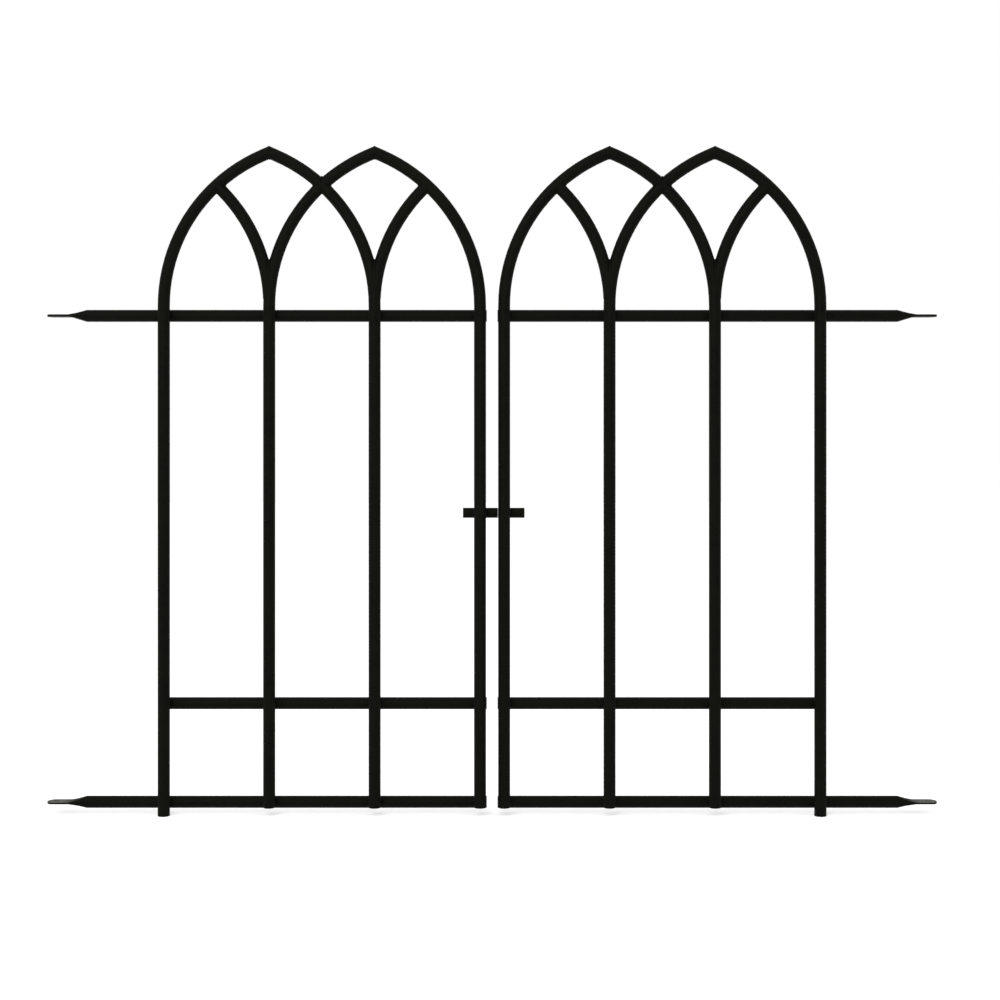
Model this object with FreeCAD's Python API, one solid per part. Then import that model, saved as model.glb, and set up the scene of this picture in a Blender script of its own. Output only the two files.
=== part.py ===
"""A pair of low garden gate leaves in welded round steel tube, with intersecting pointed arches.

Millimetres. +Z is up, X runs across the opening and the front faces -Y. The origin is on the ground line,
midway between the two pivot lines. The rails and the pivots lie in the plane y = 0, and the uprights are
lapped on in front of them. The right-hand leaf is modelled and mirrored; only the latch differs.

The tubes are open for their plugs and bored along their straight runs. Round the bends, which nothing
opens, they are left solid.
"""
import FreeCAD
import Part

import math
import os

Vector = FreeCAD.Vector

# Tube: every upright, arch and rail is cut from the same stock
TUBE_OD = 16.0
TUBE_WALL = 1.2
BEND_OVALITY = 0.02  # an upright's section is this much narrower in the plane of its bend

# Leaf layout, from the middle of the opening outwards
LEAF_GAP = 16.0  # clear width between the two meeting stiles
UPRIGHT_PITCH = 140.0

# Heights above the ground line: of the rails' axes, and of the feet between the hinge stiles
BOTTOM_RAIL_Z = 15.0
MID_RAIL_Z = 147.0
TOP_RAIL_Z = 665.3
SHORT_FOOT_Z = 11.7

# Arches: bends that spring from the uprights just above the top rail
ARCH_R = 217.5
SPRING_Z = 677.3

# Welded joints
LAP_GAP = 0.2  # weld metal between two tubes that cross
COPE_GAP = 0.2  # between a coped end and the tube that it saddles
SCARF_START = 1.0  # thickness of a side arc's thin end, where it leaves its upright
END_STRAIGHT = 10.0  # left unbent at each end that is coped or mitred

# Pivot tabs: the rails' outer ends pressed flat, rounded and pierced
PIVOT_SPAN = 1166.0  # between the two pivot lines
TAB_LENGTH = 30.0
FLATTEN_LENGTH = 22.5  # over which the round tube closes up

# Pivot bushes, clamped to the posts by M6 bolts
BUSH_BORE_R = 3.2
BUSH_WALL = 1.0
BUSH_RUNNING_GAP = 0.08
BUSH_STANDOUT = 0.4  # beyond each face of the tab, so that a tight bolt leaves the leaf free

# Plastic end plugs
PLUG_HEAD = 0.8
PLUG_SHANK = 9.0
PLUG_GAP = 0.05

# Latch: a sliding bolt in a guide behind the left meeting stile, and its receiver behind the right one
LATCH_Z = 401.8
BARREL_OD = 13.5
GUIDE_OVERHANG = 14.9  # past the left stile's far side
RECEIVER_OVERHANG = 19.3  # past the right stile's far side
SPLIT_INSET = 0.2  # from the right stile's near side back to the receiver's mouth
SPLIT_GAP = 0.25  # between the guide and the receiver, so that the leaves swing past each other
GUIDE_END_WALL = 1.6
RECEIVER_WALL = 1.2
BOLT_R = 3.5
BOLT_LEAD = 0.8  # chamfer on the bolt's tip
BOLT_RUNNING_GAP = 0.08
BOLT_SETBACK = 0.3  # of the bolt's ends, when drawn, from the guide's mouth and end wall
BOLT_TRAVEL = 26.0

# Finger knob, on a stem through the guide's slot
KNOB_INSET = 10.9  # from the guide's closed end to the stem, with the bolt drawn
STEM_R = 2.5
STEM_SEAT = 4.5  # depth of the stem in the bolt
STEM_CLEARANCE = 0.5  # beside the stem in the slot
KNOB_NECK = 6.5  # of stem between the guide and the knob
KNOB_R = 6.0
KNOB_LENGTH = 12.2

TUBE_R = TUBE_OD / 2
BORE_R = TUBE_R - TUBE_WALL
MEETING_X = LEAF_GAP / 2 + TUBE_R
INNER_X = MEETING_X + UPRIGHT_PITCH
OUTER_X = INNER_X + UPRIGHT_PITCH
HINGE_X = OUTER_X + UPRIGHT_PITCH
PIVOT_X = PIVOT_SPAN / 2
UPRIGHT_Y = -(TUBE_OD + LAP_GAP)
STRAIGHT_TURN = END_STRAIGHT / ARCH_R
HINGE_FOOT_Z = PLUG_HEAD
MID_RAIL_END_X = HINGE_X + TUBE_R - PLUG_HEAD
BUSH_R = BUSH_BORE_R + BUSH_WALL
BARREL_R = BARREL_OD / 2
BARREL_Y = UPRIGHT_Y + TUBE_R + LAP_GAP + BARREL_R

RIGHTWARDS = Vector(1, 0, 0)
BACKWARDS = Vector(0, 1, 0)
UPWARDS = Vector(0, 0, 1)


# ---- round bars, plain and turned ----

def bar(radius, start, end):
    return Part.makeCylinder(radius, (end - start).Length, start, end - start)


def turned(profile, seat, along):
    """A turned piece. The profile lists (distance along the axis from the seat, radius) corners."""
    corners = [Vector(radius, 0, distance) for distance, radius in profile]
    outline = Part.makePolygon(corners + corners[:1])
    solid = Part.Face(outline).revolve(Vector(), UPWARDS, 360)
    solid.Placement = FreeCAD.Placement(seat, FreeCAD.Rotation(UPWARDS, along))
    return solid


# ---- uprights and arches ----

def arch_point(foot_x, lean, turn):
    """Point on an arch's axis, turn radians round from the springing; lean is +1 or -1 along X."""
    x = foot_x + lean * ARCH_R * (1 - math.cos(turn))
    return Vector(x, UPRIGHT_Y, SPRING_Z + ARCH_R * math.sin(turn))


def arch_direction(lean, turn):
    return Vector(lean * math.sin(turn), 0, math.cos(turn))


def bend(foot_x, lean, first, last):
    points = [arch_point(foot_x, lean, turn) for turn in (first, (first + last) / 2, last)]
    return Part.Arc(*points).toShape()


def straight_end(foot_x, lean, turn, way=1):
    """The unbent end of an arch that is cut on a joint, past it (way 1) or ahead of it (way -1)."""
    bend_end = arch_point(foot_x, lean, turn)
    tube_end = bend_end + arch_direction(lean, turn) * (way * (END_STRAIGHT + TUBE_R))
    return Part.LineSegment(*[bend_end, tube_end][::way]).toShape()


def upright_axis(foot_x, foot_z, lean, joint):
    """The axis of an upright from its foot, round its bend and past the joint where it is cut."""
    foot = Vector(foot_x, UPRIGHT_Y, foot_z)
    straight = Part.LineSegment(foot, arch_point(foot_x, lean, 0)).toShape()
    last = joint - STRAIGHT_TURN
    return [straight, bend(foot_x, lean, 0, last), straight_end(foot_x, lean, last)]


def swept(axis, radius):
    """A bar along a chain of tangent edges in the uprights' plane, a shade oval as bending leaves it."""
    start = axis[0].valueAt(axis[0].FirstParameter)
    along = axis[0].tangentAt(axis[0].FirstParameter)
    across = BACKWARDS.cross(along)
    section = Part.Ellipse(start + BACKWARDS * radius, start + across * (radius - BEND_OVALITY / 2), start)
    return Part.Wire(axis).makePipeShell([Part.Wire(section.toShape())], True, False)


def bored(shape, foot_x, foot_z):
    foot = Vector(foot_x, UPRIGHT_Y, foot_z)
    return shape.cut(bar(BORE_R, foot, Vector(foot_x, UPRIGHT_Y, SPRING_Z)))


def largest(shape):
    return max(shape.Solids, key=lambda solid: solid.Volume)


def coped(shape, foot_x, lean, joint):
    """Notch the end of an arch to saddle the tube that it meets, part way round that tube's bend."""
    centre = arch_point(foot_x, lean, joint)
    reach = arch_direction(lean, joint) * TUBE_OD
    return largest(shape.cut(bar(TUBE_R + COPE_GAP, centre - reach, centre + reach)))


def mitred(shape, apex_x, side):
    """Keep what lies to one side, +1 or -1, of the upright plane through an apex."""
    reach = 2 * ARCH_R
    corner = Vector(min(apex_x, apex_x + side * reach), UPRIGHT_Y - TUBE_OD, 0)
    return largest(shape.common(Part.makeBox(reach, 2 * TUBE_OD, SPRING_Z + reach, corner)))


def side_arc(foot_x, lean, upright, joint):
    """An arc that leaves its upright by a long scarf, at the springing, and ends coped."""
    scarf = math.acos(1 - SCARF_START / (2 * ARCH_R))
    parted = math.acos(1 - (TUBE_R + COPE_GAP) / ARCH_R)
    last = joint - STRAIGHT_TURN
    axis = [bend(foot_x, lean, scarf, parted), bend(foot_x, lean, parted, last),
            straight_end(foot_x, lean, last)]
    return largest(swept(axis, TUBE_R).cut(swept(upright, TUBE_R + COPE_GAP)))


def leaf_uprights():
    """Two intersecting pointed arches on four uprights, with a side arc off each of the two inner ones."""
    apex = math.acos(1 - UPRIGHT_PITCH / ARCH_R)
    crossing = math.acos(1 - UPRIGHT_PITCH / (2 * ARCH_R))
    hinge = upright_axis(HINGE_X, HINGE_FOOT_Z, -1, apex)
    outer = upright_axis(OUTER_X, SHORT_FOOT_Z, -1, crossing)
    inner = upright_axis(INNER_X, SHORT_FOOT_Z, 1, apex)
    meeting = upright_axis(MEETING_X, SHORT_FOOT_Z, 1, apex)
    tip_turns = crossing + STRAIGHT_TURN, apex - STRAIGHT_TURN
    tip = [straight_end(OUTER_X, -1, tip_turns[0], -1), bend(OUTER_X, -1, *tip_turns),
           straight_end(OUTER_X, -1, tip_turns[1])]

    hinge_stile = mitred(bored(swept(hinge, TUBE_R), HINGE_X, HINGE_FOOT_Z), OUTER_X, 1)
    outer_upright = coped(bored(swept(outer, TUBE_R), OUTER_X, SHORT_FOOT_Z), INNER_X, 1, crossing)
    arch_tip = mitred(coped(swept(tip, TUBE_R), INNER_X, 1, crossing), INNER_X, 1)
    outer_side_arc = coped(side_arc(OUTER_X, 1, outer, crossing), HINGE_X, -1, crossing)
    inner_upright = mitred(bored(swept(inner, TUBE_R), INNER_X, SHORT_FOOT_Z), OUTER_X, -1)
    inner_side_arc = coped(side_arc(INNER_X, -1, inner, crossing), MEETING_X, 1, crossing)
    meeting_stile = mitred(bored(swept(meeting, TUBE_R), MEETING_X, SHORT_FOOT_Z), INNER_X, -1)
    return {
        "hinge_stile": hinge_stile,
        "outer_upright": Part.makeCompound([outer_upright, arch_tip, outer_side_arc]),
        "inner_upright": Part.makeCompound([inner_upright, inner_side_arc]),
        "meeting_stile": meeting_stile,
    }


# ---- rails ----

def round_outline(x, z, radius):
    """A circle across X as four arcs that meet on the diagonals, from the top one round over -Y."""
    def at(degrees):
        turn = math.radians(degrees)
        return Vector(x, radius * math.cos(turn), z + radius * math.sin(turn))
    return Part.Wire([Part.Arc(at(a), at(a + 45), at(a + 90)).toShape() for a in (45, 135, 225, 315)])


def flat_outline(x, z, width, height):
    """A flattened tube across X: two flats and two folds, in the same order as round_outline's arcs."""
    fold_r = height / 2
    half_flat = width / 2 - fold_r

    def at(y, up):
        return Vector(x, y, z + up)

    def fold(side):
        start = at(side * half_flat, -side * fold_r)
        middle = at(side * (half_flat + fold_r), 0)
        return Part.Arc(start, middle, at(side * half_flat, side * fold_r)).toShape()

    top = Part.LineSegment(at(half_flat, fold_r), at(-half_flat, fold_r)).toShape()
    bottom = Part.LineSegment(at(-half_flat, -fold_r), at(half_flat, -fold_r)).toShape()
    return Part.Wire([top, fold(-1), bottom, fold(1)])


def pivot_rail(z):
    """A tube from the meeting stile out to a flat, rounded tab that is pierced for the pivot bush."""
    thickness = 2 * TUBE_WALL
    width = thickness + math.pi * (TUBE_OD - thickness) / 2  # the girth stays the same
    tab_x = PIVOT_X + width / 2 - TAB_LENGTH
    start = Vector(LEAF_GAP / 2, 0, z)
    round_end = Vector(tab_x - FLATTEN_LENGTH, 0, z)
    below_pivot = Vector(PIVOT_X, 0, z - TUBE_R)

    flat = flat_outline(tab_x, z, width, thickness)
    closing = Part.makeLoft([round_outline(round_end.x, z, TUBE_R), flat], True, True)
    squared = Part.makeBox(PIVOT_X - tab_x, width, TUBE_OD, Vector(tab_x, -width / 2, z - TUBE_R))
    rounded = Part.makeCylinder(width / 2, TUBE_OD, below_pivot)
    tab = Part.Face(flat).extrude(RIGHTWARDS * TAB_LENGTH).common(squared.fuse(rounded))
    hole = Part.makeCylinder(BUSH_R + BUSH_RUNNING_GAP, TUBE_OD, below_pivot)
    rail = bar(TUBE_R, start, round_end).fuse([closing, tab])
    return rail.cut([bar(BORE_R, start, round_end), hole])


def mid_rail():
    start = Vector(LEAF_GAP / 2, 0, MID_RAIL_Z)
    end = Vector(MID_RAIL_END_X, 0, MID_RAIL_Z)
    return bar(TUBE_R, start, end).cut(bar(BORE_R, start, end))


# ---- end plugs ----

def plug(tube_end, outwards, tube_r, bore_r):
    """A push-in plug: a shank in the bore and a thin head over the wall's end."""
    shank_r = bore_r - PLUG_GAP
    shank = [(-PLUG_SHANK, 0), (-PLUG_SHANK, shank_r), (0, shank_r)]
    head = [(0, tube_r), (PLUG_HEAD, tube_r), (PLUG_HEAD, 0)]
    return turned(shank + head, tube_end, outwards)


def foot_plugs():
    feet = [(HINGE_X, HINGE_FOOT_Z)] + [(x, SHORT_FOOT_Z) for x in (OUTER_X, INNER_X, MEETING_X)]
    return [plug(Vector(x, UPRIGHT_Y, z), -UPWARDS, TUBE_R, BORE_R) for x, z in feet]


def rail_plugs():
    plugs = [plug(Vector(LEAF_GAP / 2, 0, z), -RIGHTWARDS, TUBE_R, BORE_R)
             for z in (BOTTOM_RAIL_Z, MID_RAIL_Z, TOP_RAIL_Z)]
    plugs.append(plug(Vector(MID_RAIL_END_X, 0, MID_RAIL_Z), RIGHTWARDS, TUBE_R, BORE_R))
    return plugs


# ---- latch ----

def latch():
    """Guide, bolt and knob on the left leaf, drawn open, with the receiver and its plug on the right one."""
    mouth_x = LEAF_GAP / 2 - SPLIT_INSET
    receiver_end_x = MEETING_X + TUBE_R + RECEIVER_OVERHANG - PLUG_HEAD
    tail_x = -(MEETING_X + TUBE_R + GUIDE_OVERHANG)
    guide_length = mouth_x - SPLIT_GAP - tail_x
    bolt_length = guide_length - GUIDE_END_WALL - 2 * BOLT_SETBACK
    guide_bore_r = BOLT_R + BOLT_RUNNING_GAP
    receiver_bore_r = BARREL_R - RECEIVER_WALL

    def on_axis(x):
        return Vector(x, BARREL_Y, LATCH_Z)

    outside = [(0, 0), (0, BARREL_R), (guide_length, BARREL_R)]
    bore = [(guide_length, guide_bore_r), (GUIDE_END_WALL, guide_bore_r), (GUIDE_END_WALL, 0)]
    guide = turned(outside + bore, on_axis(tail_x), RIGHTWARDS)
    stem_x = tail_x + KNOB_INSET
    slot_r = STEM_R + STEM_CLEARANCE
    slot = Part.makeBox(BOLT_TRAVEL, BARREL_OD, 2 * slot_r, on_axis(stem_x) - UPWARDS * slot_r)
    slot_ends = [Part.makeCylinder(slot_r, BARREL_OD, on_axis(x), BACKWARDS)
                 for x in (stem_x, stem_x + BOLT_TRAVEL)]
    guide = guide.cut(slot.fuse(slot_ends))

    receiver = bar(BARREL_R, on_axis(mouth_x), on_axis(receiver_end_x))
    receiver = receiver.cut(bar(receiver_bore_r, on_axis(mouth_x), on_axis(receiver_end_x)))
    receiver_plug = plug(on_axis(receiver_end_x), RIGHTWARDS, BARREL_R, receiver_bore_r)

    tip = [(bolt_length - BOLT_LEAD, BOLT_R), (bolt_length, BOLT_R - BOLT_LEAD), (bolt_length, 0)]
    bolt = turned([(0, 0), (0, BOLT_R)] + tip, on_axis(tail_x + GUIDE_END_WALL + BOLT_SETBACK), RIGHTWARDS)
    stem_start = BOLT_R - STEM_SEAT
    seat = on_axis(stem_x) + BACKWARDS * stem_start
    bolt = bolt.cut(Part.makeCylinder(STEM_R, BARREL_OD, seat, BACKWARDS))

    knob_start = BARREL_R + KNOB_NECK
    knob_end = knob_start + KNOB_LENGTH
    stem = [(stem_start, 0), (stem_start, STEM_R), (knob_start, STEM_R)]
    grip = [(knob_start, KNOB_R), (knob_end, KNOB_R), (knob_end, 0)]
    knob = turned(stem + grip, on_axis(stem_x), BACKWARDS)
    return guide, bolt, knob, receiver, receiver_plug


# ---- pivots ----

def pivot_bushes():
    """A sleeve through each tab: the leaves turn on them."""
    length = 2 * (TUBE_WALL + BUSH_STANDOUT)
    feet = [Vector(x, 0, z - length / 2) for x in (-PIVOT_X, PIVOT_X) for z in (BOTTOM_RAIL_Z, TOP_RAIL_Z)]
    return [Part.makeCylinder(BUSH_R, length, foot).cut(Part.makeCylinder(BUSH_BORE_R, length, foot))
            for foot in feet]


# ---- the whole gate ----

def mirrored(shape):
    return shape.mirror(Vector(), RIGHTWARDS)


guide, bolt, knob, receiver, receiver_plug = latch()
pieces = {
    "latch_guide": guide,
    "latch_bolt": bolt,
    "latch_knob": knob,
    "latch_receiver": receiver,
    "pivot_bushes": Part.makeCompound(pivot_bushes()),
}
leaf = leaf_uprights()
leaf["top_rail"] = pivot_rail(TOP_RAIL_Z)
leaf["mid_rail"] = mid_rail()
leaf["bottom_rail"] = pivot_rail(BOTTOM_RAIL_Z)
leaf["foot_plugs"] = Part.makeCompound(foot_plugs())
for name, shape in leaf.items():
    pieces["right_" + name] = shape
    pieces["left_" + name] = mirrored(shape)
pieces["right_end_plugs"] = Part.makeCompound(rail_plugs() + [receiver_plug])
pieces["left_end_plugs"] = mirrored(Part.makeCompound(rail_plugs()))

os.makedirs("parts", exist_ok=True)
for name, shape in pieces.items():
    shape.exportStep("parts/" + name + ".step")
    print(f"{name:20} solids {len(shape.Solids):2}  volume {shape.Volume:9.1f}  valid {shape.isValid()}")
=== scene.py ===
import math

import bpy
import numpy as np
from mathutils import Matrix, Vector


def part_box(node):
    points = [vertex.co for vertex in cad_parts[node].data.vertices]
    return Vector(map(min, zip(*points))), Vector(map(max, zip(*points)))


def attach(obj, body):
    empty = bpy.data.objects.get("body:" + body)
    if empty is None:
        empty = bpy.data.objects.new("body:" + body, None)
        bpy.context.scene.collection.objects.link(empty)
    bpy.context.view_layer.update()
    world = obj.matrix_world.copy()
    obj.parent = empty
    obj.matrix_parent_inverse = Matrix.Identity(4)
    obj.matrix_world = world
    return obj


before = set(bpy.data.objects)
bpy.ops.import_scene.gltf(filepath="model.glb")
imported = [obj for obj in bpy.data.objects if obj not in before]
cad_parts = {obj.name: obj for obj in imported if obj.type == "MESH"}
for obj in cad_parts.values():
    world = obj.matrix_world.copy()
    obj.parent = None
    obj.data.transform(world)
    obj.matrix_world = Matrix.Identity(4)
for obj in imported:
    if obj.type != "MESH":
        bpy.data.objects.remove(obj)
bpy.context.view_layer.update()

# ---- Uprights, arches and rails ----
# Round mild steel tube, bent on a former and cut to saddle its neighbours; the rails' outer ends are pressed
# flat for the pivots. The welded leaves are powder coated near black: satin, with a fine orange-peel skin.
# The pressed ends' flat tops are painted a lighter grey: a painted sheen in place of the light they catch
# from above.

BLACK = (0.0014, 0.0014, 0.0005, 1.0)
THICK_BLACK = (0.0044, 0.0044, 0.0025, 1.0)  # where the film is thick and has dulled
PEEL_PER_METRE = 620.0
PEEL_HEIGHT = 0.00022
GRIT_PER_METRE = 1054.0
NIB_HEIGHT = 0.8  # as a share of the peel's
CLOUDS_PER_METRE = 14.0
MOTTLE_PER_METRE = 150.0
THIN_FILM_ROUGHNESS = 0.46
THICK_FILM_ADDS = 0.22
COAT_GLOSS = 0.05

# painted sheen: the lighter grey painted on the tabs' flat tops in place of light falling on them from above
PAINTED_SHEEN = (0.125, 0.125, 0.118, 1.0)
TAB_LENGTH = 0.03
TAB_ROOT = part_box("right_top_rail")[1].x - TAB_LENGTH
SHEEN_FADE = 0.012  # from where the painted sheen starts to where it is all there
SHEEN_DRIFT = 0.008  # the most that the mottle brings its edge in towards the root
TOO_STEEP = 0.8  # the upward part of a surface's normal up to which no painted sheen lies
FLAT_ENOUGH = 0.98  # and from which all of it does
SHEEN_ON_THIN_FILM = 0.6


class Value:
    """One output of a node. A sum or product with a number or another output adds a Math node."""

    def __init__(self, nodes, socket):
        self.nodes = nodes
        self.socket = socket

    def __add__(self, other):
        return self.nodes.add("Math", {"operation": "ADD"}, [self, other])

    def __mul__(self, other):
        return self.nodes.add("Math", {"operation": "MULTIPLY"}, [self, other])

    __radd__ = __add__
    __rmul__ = __mul__


class Nodes:
    """The node tree of a finish, or of the surround, while it is put together."""

    def __init__(self, owner):
        owner.use_nodes = True
        self.owner = owner
        self.tree = owner.node_tree
        self.tree.nodes.clear()

    def add(self, kind, settings={}, inputs={}, output=0):
        """Adds a node, makes its settings, fills or links its inputs, and gives back one output."""
        node = self.tree.nodes.new("ShaderNode" + kind)
        for name, setting in settings.items():
            if name == "stops":
                for stop, (place, shade) in zip(node.color_ramp.elements, setting):
                    stop.position = place
                    stop.color = (shade, shade, shade, 1.0)
            else:
                setattr(node, name, setting)
        for name, value in inputs.items() if isinstance(inputs, dict) else enumerate(inputs):
            if isinstance(value, Value):
                self.tree.links.new(value.socket, node.inputs[name])
            else:
                node.inputs[name].default_value = value
        return Value(self, node.outputs[output]) if node.outputs else None

    def tint(self, amount, first, second):
        """A colour between two others. The numbers are a Mix node's own places for its factor and colours."""
        return self.add("Mix", {"data_type": "RGBA"}, {0: amount, 6: first, 7: second}, output=2)

    def finish(self, shader, output="OutputMaterial"):
        """Links the shader to the output, and gives back the finish or the surround."""
        self.add(output, {}, {"Surface": shader})
        return self.owner


def painted_sheen_on_tabs(coat, place, mottle, film):
    """
    How much painted sheen lies at a place: a lighter grey painted on the tabs' flat tops in place of light
    from above.
    It is the product of three parts: one rises from 0 at a tab's root to 1 further out, one from 0 on a slope
    to 1 on the level, and one to 1 where the film is thickest.
    """
    out = coat.add("Math", {"operation": "ABSOLUTE"}, [coat.add("SeparateXYZ", {}, [place])])
    on_tab = coat.add("MapRange", {}, {"Value": out + SHEEN_DRIFT * mottle,
                                       "From Min": TAB_ROOT, "From Max": TAB_ROOT + SHEEN_FADE})
    up = coat.add("SeparateXYZ", {}, [coat.add("NewGeometry", output="Normal")], output="Z")
    level = coat.add("MapRange", {}, {"Value": up, "From Min": TOO_STEEP, "From Max": FLAT_ENOUGH})
    return on_tab * level * (SHEEN_ON_THIN_FILM + (1 - SHEEN_ON_THIN_FILM) * film)


def powder_coat(name):
    """Powder coat: orange peel with a few nibs of grit, a film that is thicker and duller in clouds, and a
    painted sheen on the tabs' flat tops.
    """
    coat = Nodes(bpy.data.materials.new(name))
    place = coat.add("TexCoord", output="Object")
    peel = coat.add("TexNoise", {}, {"Vector": place, "Scale": PEEL_PER_METRE, "Detail": 2.0})
    grit = coat.add("TexNoise", {}, {"Vector": place, "Scale": GRIT_PER_METRE, "Detail": 0.0})
    nibs = coat.add("ValToRGB", {"stops": [(0.68, 0.0), (0.86, 1.0)]}, [grit])
    cloud = coat.add("TexNoise", {}, {"Vector": place, "Scale": CLOUDS_PER_METRE, "Detail": 3.0})
    mottle = coat.add("TexNoise", {}, {"Vector": place, "Scale": MOTTLE_PER_METRE, "Detail": 2.0})
    film = coat.add("ValToRGB", {"stops": [(0.36, 0.0), (0.64, 1.0)]}, [0.5 * cloud + 0.5 * mottle])
    # painted sheen: the tabs' flat tops are mixed towards a lighter grey in place of light from above
    painted_sheen = painted_sheen_on_tabs(coat, place, mottle, film)
    relief = peel + NIB_HEIGHT * nibs
    skin = coat.add("Bump", {}, {"Strength": 1.0, "Distance": PEEL_HEIGHT, "Height": relief})
    return coat.finish(coat.add("BsdfPrincipled", {}, {
        "Base Color": coat.tint(painted_sheen, coat.tint(film, BLACK, THICK_BLACK), PAINTED_SHEEN),
        "Roughness": THIN_FILM_ROUGHNESS + THICK_FILM_ADDS * film,
        "Specular IOR Level": COAT_GLOSS,
        "Normal": skin,
    }))


LEAVES = {"left": -1, "right": 1}
tube_coat = powder_coat("tube_coat")
for leaf in LEAVES:
    for tube in ("hinge_stile", "outer_upright", "inner_upright", "meeting_stile", "top_rail", "mid_rail",
                 "bottom_rail"):
        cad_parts[f"{leaf}_{tube}"].data.materials[0] = tube_coat


# ---- Welds where the uprights cross the rails ----
# MIG beads, run by hand in the crotches on both sides of each upright, and in one pass over the top where an
# upright's foot stops at the bottom rail. They are coated with the tubes.

BEAD_R = 0.0017
RIPPLE_PITCH = 0.0016
RIPPLE_DEPTH = 0.08  # as a share of the bead's radius
STEPS_PER_RIPPLE = 7
SIDES_OF_BEAD = 12
RUN_POINTS = 200  # worked out along a run, before the bead's even steps are laid on it
LAP_REACH = 0.0056  # from the middle of a crossing out to the bead's middle
BOTH_SIDES = ((-62.0, 62.0), (118.0, 242.0))  # turns of the bead's ends about the crossing, in degrees
OVER_THE_TOP = ((-12.0, 192.0),)

tube_r = (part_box("right_mid_rail")[1].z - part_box("right_mid_rail")[0].z) / 2
uprights_y = (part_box("right_meeting_stile")[0].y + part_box("right_meeting_stile")[1].y) / 2
meeting_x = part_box("right_meeting_stile")[0].x + tube_r
hinge_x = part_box("right_hinge_stile")[1].x - tube_r
pitch = (hinge_x - meeting_x) / 3
upright_xs = [meeting_x + step * pitch for step in range(4)]


def middle(name):
    """The middle of a node's box."""
    low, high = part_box(name)
    return (low + high) / 2


def bead(run, hub, radius, closed=False, ripple=RIPPLE_DEPTH):
    """
    A weld bead as a grid over two numbers, the place along the run and the turn round the bead. Each point is
    the run's point there, plus the radius times (the cosine of the turn times the direction away from the
    hub, plus its sine times the direction square to that and to the run). The radius ripples by a sine, as
    the pool was moved on. On an open run it is also multiplied by the root of (1 less the fourth power of
    the place, counted from -1 to 1), which draws both ends to a point. Gives the points and the triangles.
    """
    line = np.vstack([run, run[:1]]) if closed else run
    length = np.append(0.0, np.cumsum(np.linalg.norm(np.diff(line, axis=0), axis=1)))
    ripples = round(length[-1] / RIPPLE_PITCH)
    along = np.linspace(0, 1, ripples * STEPS_PER_RIPPLE, endpoint=not closed)
    run = np.stack([np.interp(along * length[-1], length, line[:, axis]) for axis in range(3)], axis=1)
    ahead = np.roll(run, -1, axis=0) - np.roll(run, 1, axis=0) if closed else np.gradient(run, axis=0)
    ahead /= np.linalg.norm(ahead, axis=1, keepdims=True)
    away = run - hub
    away -= ahead * np.sum(away * ahead, axis=1, keepdims=True)
    away /= np.linalg.norm(away, axis=1, keepdims=True)
    across = np.cross(ahead, away)

    size = radius * (1 + ripple * np.sin(2 * np.pi * ripples * along))
    if not closed:
        size *= np.sqrt(1 - (2 * along - 1) ** 4)
    turn = np.linspace(0, 2 * np.pi, SIDES_OF_BEAD, endpoint=False)[None, :, None]
    ring = np.cos(turn) * away[:, None] + np.sin(turn) * across[:, None]
    points = (run[:, None] + size[:, None, None] * ring).reshape(-1, 3)

    grid = np.arange(len(points)).reshape(len(run), SIDES_OF_BEAD)
    if closed:
        grid = np.vstack([grid, grid[:1]])
    else:
        grid[0] = grid[0, 0]
        grid[-1] = grid[-1, 0]
    this, after = grid[:-1], grid[1:]
    this_next, after_next = np.roll(this, -1, axis=1), np.roll(after, -1, axis=1)
    triangles = np.stack([[this, this_next, after_next], [this, after_next, after]])
    triangles = triangles.transpose(0, 2, 3, 1).reshape(-1, 3)
    triangles = triangles[np.all(triangles != np.roll(triangles, 1, axis=1), axis=1)]
    used, triangles = np.unique(triangles, return_inverse=True)
    return points[used], triangles.reshape(-1, 3)


def coated_welds(name, beads, body, coat, low=-np.inf, high=np.inf):
    """Makes one piece of a body's beads. What stands past the low or the high corner is ground off flush."""
    starts = np.cumsum([0] + [len(points) for points, _ in beads])
    mesh = bpy.data.meshes.new(name)
    mesh.from_pydata(np.clip(np.concatenate([points for points, _ in beads]), low, high), [],
                     np.concatenate([triangles + start for (_, triangles), start in zip(beads, starts)]))
    mesh.shade_smooth()
    mesh.materials.append(coat)
    welds = bpy.data.objects.new(name, mesh)
    bpy.context.scene.collection.objects.link(welds)
    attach(welds, body)


def lap_beads(x, z, level_y, level_r, runs):
    """
    The beads where an upright crosses in front of a level tube. At each turn about the crossing, a bead's
    middle stands LAP_REACH out from it, and midway between the upright's back and the level tube's front.
    Each of those is its axis plus or minus the root of (radius squared less offset squared), where the
    offset is sideways for the upright and upwards for the level tube.
    """
    hub = np.array([x, (uprights_y + tube_r + level_y - level_r) / 2, z])
    beads = []
    for start, end in runs:
        turn = np.radians(np.linspace(start, end, RUN_POINTS))
        sideways = LAP_REACH * np.cos(turn)
        upwards = LAP_REACH * np.sin(turn)
        back = uprights_y + np.sqrt(tube_r ** 2 - sideways ** 2)
        front = level_y - np.sqrt(level_r ** 2 - upwards ** 2)
        beads.append(bead(np.stack([x + sideways, (back + front) / 2, z + upwards], axis=1), hub, BEAD_R))
    return beads


for leaf, side in LEAVES.items():
    beads = []
    for rail in ("bottom_rail", "mid_rail", "top_rail"):
        level = middle(f"{leaf}_{rail}")
        for x in upright_xs:
            stops_here = rail == "bottom_rail" and x != upright_xs[-1]
            beads += lap_beads(side * x, level.z, level.y, tube_r, OVER_THE_TOP if stops_here else BOTH_SIDES)
    coated_welds(f"{leaf}_rail_welds", beads, f"{leaf}_leaf", tube_coat)


# ---- Welds in the arches ----
# Beads in the crotches where one bent tube saddles another, along the scarfs and over the forks of the two
# middle uprights, and round each mitred apex. They are ground flush at the front and on the apex's ridge.

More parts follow.
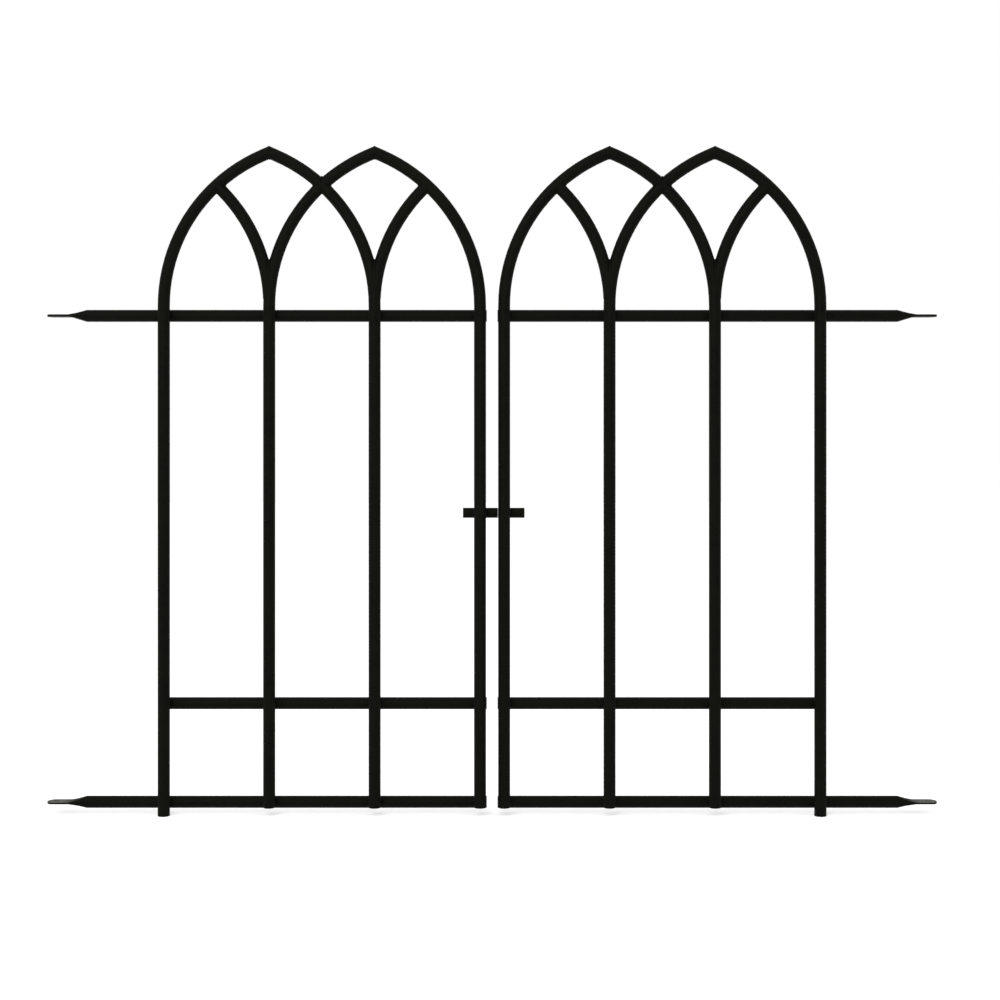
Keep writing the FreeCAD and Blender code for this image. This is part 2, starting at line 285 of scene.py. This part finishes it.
BEND_R = 0.2175  # of every arch, to the tube's axis
CROTCH_BEAD_R = 0.0012
CROTCH_END = 80.0  # turn round the branch at which a crotch's bead ends, in degrees
FORK_BEAD_R = 0.0019
FORK_SKIN = tube_r + 0.0004  # from a tube's axis out to the middle of the fork's bead
FORK_END = 86.0  # turn from the top of the fork at which its bead ends, in degrees
FORK_POINTS = 400
SCARF_START = 0.001  # thickness of a scarfed arc's thin end
THIN_END_R = 0.0015
THIN_END_SINK = 0.001
FEATHERING = 6.0  # how many times as tall as thick a thin end's bead is dressed
MITRE_BEAD_R = 0.0011
MITRE_SINK = 0.0005
MITRE_DROP = 0.0005  # below the cut's middle: little of the bead shows on the ridge, more under the apex
MITRE_POINTS = 360
BACKWARDS = np.array([0.0, 1.0, 0.0])

apex_turn = math.acos(1 - pitch / BEND_R)
crossing_turn = math.acos(1 - pitch / 2 / BEND_R)
apex_half_height = tube_r / math.sin(apex_turn)
apex_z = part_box("right_hinge_stile")[1].z - apex_half_height
spring_z = apex_z - BEND_R * math.sin(apex_turn)


def on_arch(foot_x, lean, turn):
    """
    The point on an arch's axis, turn radians round from its springing: the bend's radius times (1 less the
    cosine of the turn) sideways, and times the sine of the turn up. Lean is 1 for +X and -1 for -X.
    """
    sideways = lean * BEND_R * (1 - math.cos(turn))
    return np.array([foot_x + sideways, uprights_y, spring_z + BEND_R * math.sin(turn)])


def heading(lean, turn):
    """The direction of an arch's axis there: the sine of the turn sideways, and its cosine up."""
    return np.array([lean * math.sin(turn), 0.0, math.cos(turn)])


def saddle_beads(joint, trunk, branch):
    """
    The two beads in the crotches where a branch saddles a trunk of the same size. At each turn round the
    branch, a bead's middle is on the branch's skin, and as far out along the branch as puts it on the
    trunk's skin too: tube radius times the cosine of the turn, times (1 less the cosine between the
    crotch's side and the trunk's flank), over the cosine between the branch and that flank.
    """
    turn = np.radians(np.linspace(-CROTCH_END, CROTCH_END, RUN_POINTS))[:, None]
    flank = np.cross(trunk, BACKWARDS)
    flank *= np.sign(flank @ branch)
    beads = []
    for crotch in (np.cross(branch, BACKWARDS), np.cross(BACKWARDS, branch)):
        out = tube_r * np.cos(turn) * (1 - crotch @ flank) / (branch @ flank)
        run = joint + out * branch + tube_r * (np.cos(turn) * crotch + np.sin(turn) * BACKWARDS)
        beads.append(bead(run, joint, CROTCH_BEAD_R))
    return beads


def fork_bead(foot_x):
    """
    The bead where two arches part above an upright, up the front seam, over the fork and down the back one.
    At each turn, the arches' axes are skin radius times its cosine to either side of the bead, which puts
    it at the height where they have parted so far, and it is skin radius times its sine behind them.
    """
    turn = np.radians(np.linspace(-FORK_END, FORK_END, FORK_POINTS))
    parted = FORK_SKIN * np.cos(turn)
    height = spring_z + np.sqrt(parted * (2 * BEND_R - parted))
    run = np.stack([np.full(turn.shape, foot_x), uprights_y + FORK_SKIN * np.sin(turn), height], axis=1)
    return bead(run, [foot_x, uprights_y, spring_z], FORK_BEAD_R)


def thin_end_bead(foot_x, lean):
    """
    The bead over the thin end of a scarfed arc: half a ring round the upright, on the side the arc leans to,
    at the height where the arc's axis and that of the upright's own arch have parted by SCARF_START. It is
    dressed smooth, to a feather edge: each point's height above or below the ring is FEATHERING times more.
    """
    turn = np.radians(np.linspace(-90, 90, RUN_POINTS))
    height = spring_z + BEND_R * math.sin(math.acos(1 - SCARF_START / 2 / BEND_R))
    ring_r = tube_r - THIN_END_SINK
    run = np.stack([foot_x + lean * ring_r * np.cos(turn), uprights_y + ring_r * np.sin(turn),
                    np.full(turn.shape, height)], axis=1)
    points, triangles = bead(run, [foot_x, uprights_y, height], THIN_END_R, ripple=0.0)
    points[:, 2] = height + FEATHERING * (points[:, 2] - height)
    return points, triangles


def mitre_bead(apex_x):
    """The bead round a mitred apex, on an ellipse as wide as the tube and as tall as its slanting cut."""
    turn = np.linspace(0, 2 * np.pi, MITRE_POINTS, endpoint=False)
    run = np.stack([np.full(turn.shape, apex_x), uprights_y + (tube_r - MITRE_SINK) * np.sin(turn),
                    apex_z - MITRE_DROP + (apex_half_height - MITRE_SINK) * np.cos(turn)], axis=1)
    return bead(run, [apex_x, uprights_y, apex_z - MITRE_DROP], MITRE_BEAD_R, closed=True)


for leaf, side in LEAVES.items():
    meeting, inner, outer, hinge = [side * x for x in upright_xs]
    inwards, outwards = heading(-side, crossing_turn), heading(side, crossing_turn)
    crossing = on_arch(inner, side, crossing_turn)
    beads = saddle_beads(crossing, outwards, -inwards) + saddle_beads(crossing, outwards, inwards)
    beads += saddle_beads(on_arch(hinge, -side, crossing_turn), inwards, -outwards)
    beads += saddle_beads(on_arch(meeting, side, crossing_turn), outwards, -inwards)
    beads += [thin_end_bead(inner, -side), thin_end_bead(outer, side)]
    beads += [fork_bead(inner), fork_bead(outer), mitre_bead(inner), mitre_bead(outer)]
    low = [-np.inf, uprights_y - tube_r, -np.inf]
    high = [np.inf, np.inf, apex_z + apex_half_height]
    coated_welds(f"{leaf}_arch_welds", beads, f"{leaf}_leaf", tube_coat, low, high)


# ---- End plugs ----
# Push-in caps of black polyethylene, moulded in spark-eroded cavities, that close the tubes' feet and the
# rails' ends. They are pushed in after coating and look duller than the tubes.

PLASTIC_BLACK = (0.0042, 0.0042, 0.0036, 1.0)
PLASTIC_GREY = (0.0062, 0.0062, 0.0056, 1.0)
GRAIN_PER_METRE = 2200.0
GRAIN_HEIGHT = 0.00002
HAZE_PER_METRE = 160.0

plastic = Nodes(bpy.data.materials.new("plug_plastic"))
place = plastic.add("TexCoord", output="Object")
grain = plastic.add("TexNoise", {}, {"Vector": place, "Scale": GRAIN_PER_METRE, "Detail": 1.0})
haze = plastic.add("TexNoise", {}, {"Vector": place, "Scale": HAZE_PER_METRE, "Detail": 3.0})
plug_plastic = plastic.finish(plastic.add("BsdfPrincipled", {}, {
    "Base Color": plastic.tint(haze, PLASTIC_BLACK, PLASTIC_GREY),
    "Roughness": 0.52 + 0.12 * haze,
    "Specular IOR Level": 0.1,
    "Normal": plastic.add("Bump", {}, {"Strength": 1.0, "Distance": GRAIN_HEIGHT, "Height": grain}),
}))
for leaf in LEAVES:
    for plugs in ("foot_plugs", "end_plugs"):
        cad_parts[f"{leaf}_{plugs}"].data.materials[0] = plug_plastic


# ---- Latch ----
# A drawn steel bolt, bright zinc plated, slides in a guide tube behind the left meeting stile and into a
# receiver behind the right one. Guide, receiver and knob are coated as the leaves are.

ZINC = (0.46, 0.48, 0.51, 1.0)
PALE_ZINC = (0.62, 0.62, 0.6, 1.0)
BLOOM_PER_METRE = 320.0
MARK_HEIGHT = 0.00001


def zinc_plate(name, marks_per_metre, colours, dullness):
    """
    Zinc plate, with fine marks of drawing or turning under it, and a bloom where its shine has gone. The
    marks are as many to the metre along X, Y and Z as given, so they are long where that is few.
    """
    plate = Nodes(bpy.data.materials.new(name))
    place = plate.add("TexCoord", output="Object")
    stretched = plate.add("Mapping", {}, {"Vector": place, "Scale": marks_per_metre})
    marks = plate.add("TexNoise", {}, {"Vector": stretched, "Scale": 1.0, "Detail": 3.0})
    cloud = plate.add("TexNoise", {}, {"Vector": place, "Scale": BLOOM_PER_METRE, "Detail": 4.0})
    bloom = plate.add("ValToRGB", {"stops": [(0.38, 0.0), (0.62, 1.0)]}, [cloud])
    return plate.finish(plate.add("BsdfPrincipled", {}, {
        "Base Color": plate.tint(bloom, *colours),
        "Metallic": 1.0,
        "Roughness": dullness + 0.18 * marks + 0.08 * bloom,
        "Normal": plate.add("Bump", {}, {"Strength": 1.0, "Distance": MARK_HEIGHT, "Height": marks}),
    }))


latch_coat = powder_coat("latch_coat")
for name in ("latch_guide", "latch_receiver", "latch_knob"):
    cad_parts[name].data.materials[0] = latch_coat
BOLT_MARKS = (60.0, 3000.0, 3000.0)  # drawn along X
bolt_zinc = zinc_plate("bolt_zinc", BOLT_MARKS, (ZINC, PALE_ZINC), dullness=0.18)
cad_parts["latch_bolt"].data.materials[0] = bolt_zinc

barrel = middle("latch_receiver")
barrel_r = (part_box("latch_receiver")[1].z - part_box("latch_receiver")[0].z) / 2
for name, leaf in (("latch_guide", "left"), ("latch_receiver", "right")):
    beads = lap_beads(LEAVES[leaf] * meeting_x, barrel.z, barrel.y, barrel_r, BOTH_SIDES)
    coated_welds(f"{name}_welds", beads, f"{leaf}_leaf", latch_coat)


# ---- Pivot bushes ----
# Sleeves turned from steel bar and zinc plated, one through each pressed rail end. A bolt through each
# clamps it to a post, and the leaf turns on it. Out in the rain their plate has gone dull and grey.

WEATHERED_ZINC = (0.07, 0.075, 0.08, 1.0)
CHALKY_ZINC = (0.2, 0.2, 0.19, 1.0)
BUSH_MARKS = (90.0, 90.0, 3500.0)  # turned round Z

bush_zinc = zinc_plate("bush_zinc", BUSH_MARKS, (WEATHERED_ZINC, CHALKY_ZINC), dullness=0.48)
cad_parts["pivot_bushes"].data.materials[0] = bush_zinc


# ---- Ground, surround and lamp ----
# A white studio: a pale ground that keeps the gate's shadow, an even white surround and one soft lamp.

GROUND_SIZE = 30.0
PALE = (0.9, 0.9, 0.9, 1.0)
WHITE = (1.0, 1.0, 1.0, 1.0)
GROUND_GLOW = 0.5
SURROUND_STRENGTH = 0.7

half = GROUND_SIZE / 2
sheet = bpy.data.meshes.new("ground")
corners = [(-half, -half, 0.0), (half, -half, 0.0), (half, half, 0.0), (-half, half, 0.0)]
sheet.from_pydata(corners, [], [(0, 1, 2, 3)])
ground = bpy.data.objects.new("ground", sheet)
bpy.context.scene.collection.objects.link(ground)


def seen_rays(nodes):
    """1 for the rays that show the surround itself, straight or in metal or glass, and 0 for light."""
    rays = ("Is Camera Ray", "Is Glossy Ray", "Is Transmission Ray")
    camera_ray, glossy_ray, clear_ray = [nodes.add("LightPath", output=ray) for ray in rays]
    return camera_ray + glossy_ray + clear_ray


pale = Nodes(bpy.data.materials.new("ground_white"))
lit = pale.add("BsdfDiffuse", {}, {"Color": PALE})
glow = pale.add("Emission", {}, {"Strength": GROUND_GLOW * seen_rays(pale)})
sheet.materials.append(pale.finish(pale.add("AddShader", {}, [lit, glow])))

surround = Nodes(bpy.data.worlds.new("surround"))
light = surround.add("Background", {}, {"Color": WHITE, "Strength": SURROUND_STRENGTH})
sight = surround.add("Background", {}, {"Color": WHITE, "Strength": 1.0})
mixed = surround.add("MixShader", {}, [seen_rays(surround), light, sight])
bpy.context.scene.world = surround.finish(mixed, "OutputWorld")

LAMP_PLACE = Vector((-1.0, -2.6, 2.2))
LAMP_TARGET = Vector((0.0, 0.0, 0.4))
LAMP_SIZE = 1.6
LAMP_WATTS = 40.0

softbox = bpy.data.lights.new("softbox", "AREA")
softbox.size = LAMP_SIZE
softbox.energy = LAMP_WATTS
lamp = bpy.data.objects.new("softbox", softbox)
lamp.location = LAMP_PLACE
lamp.rotation_euler = (LAMP_TARGET - LAMP_PLACE).to_track_quat("-Z", "Y").to_euler()
bpy.context.scene.collection.objects.link(lamp)


# ---- Camera ----
# Square on to the gate at mid height, a little right of its middle, and close enough to show a trace of the
# tubes' far sides.

CAMERA_DISTANCE = 2.09  # from the uprights
VIEW_WIDTH = 1.32815  # across the frame, at that distance
VIEW_DROP = 0.0544  # of the frame's middle below the camera's height
CAMERA_X = 0.01053
CAMERA_Z = 0.4737

lens = bpy.data.cameras.new("camera")
lens.lens = lens.sensor_width * CAMERA_DISTANCE / VIEW_WIDTH
lens.shift_y = -VIEW_DROP / VIEW_WIDTH
camera = bpy.data.objects.new("camera", lens)
camera.location = (CAMERA_X, uprights_y - CAMERA_DISTANCE, CAMERA_Z)
camera.rotation_euler = (math.pi / 2, 0.0, 0.0)
bpy.context.scene.collection.objects.link(camera)
bpy.context.scene.camera = camera
bpy.context.scene.view_settings.view_transform = "Standard"
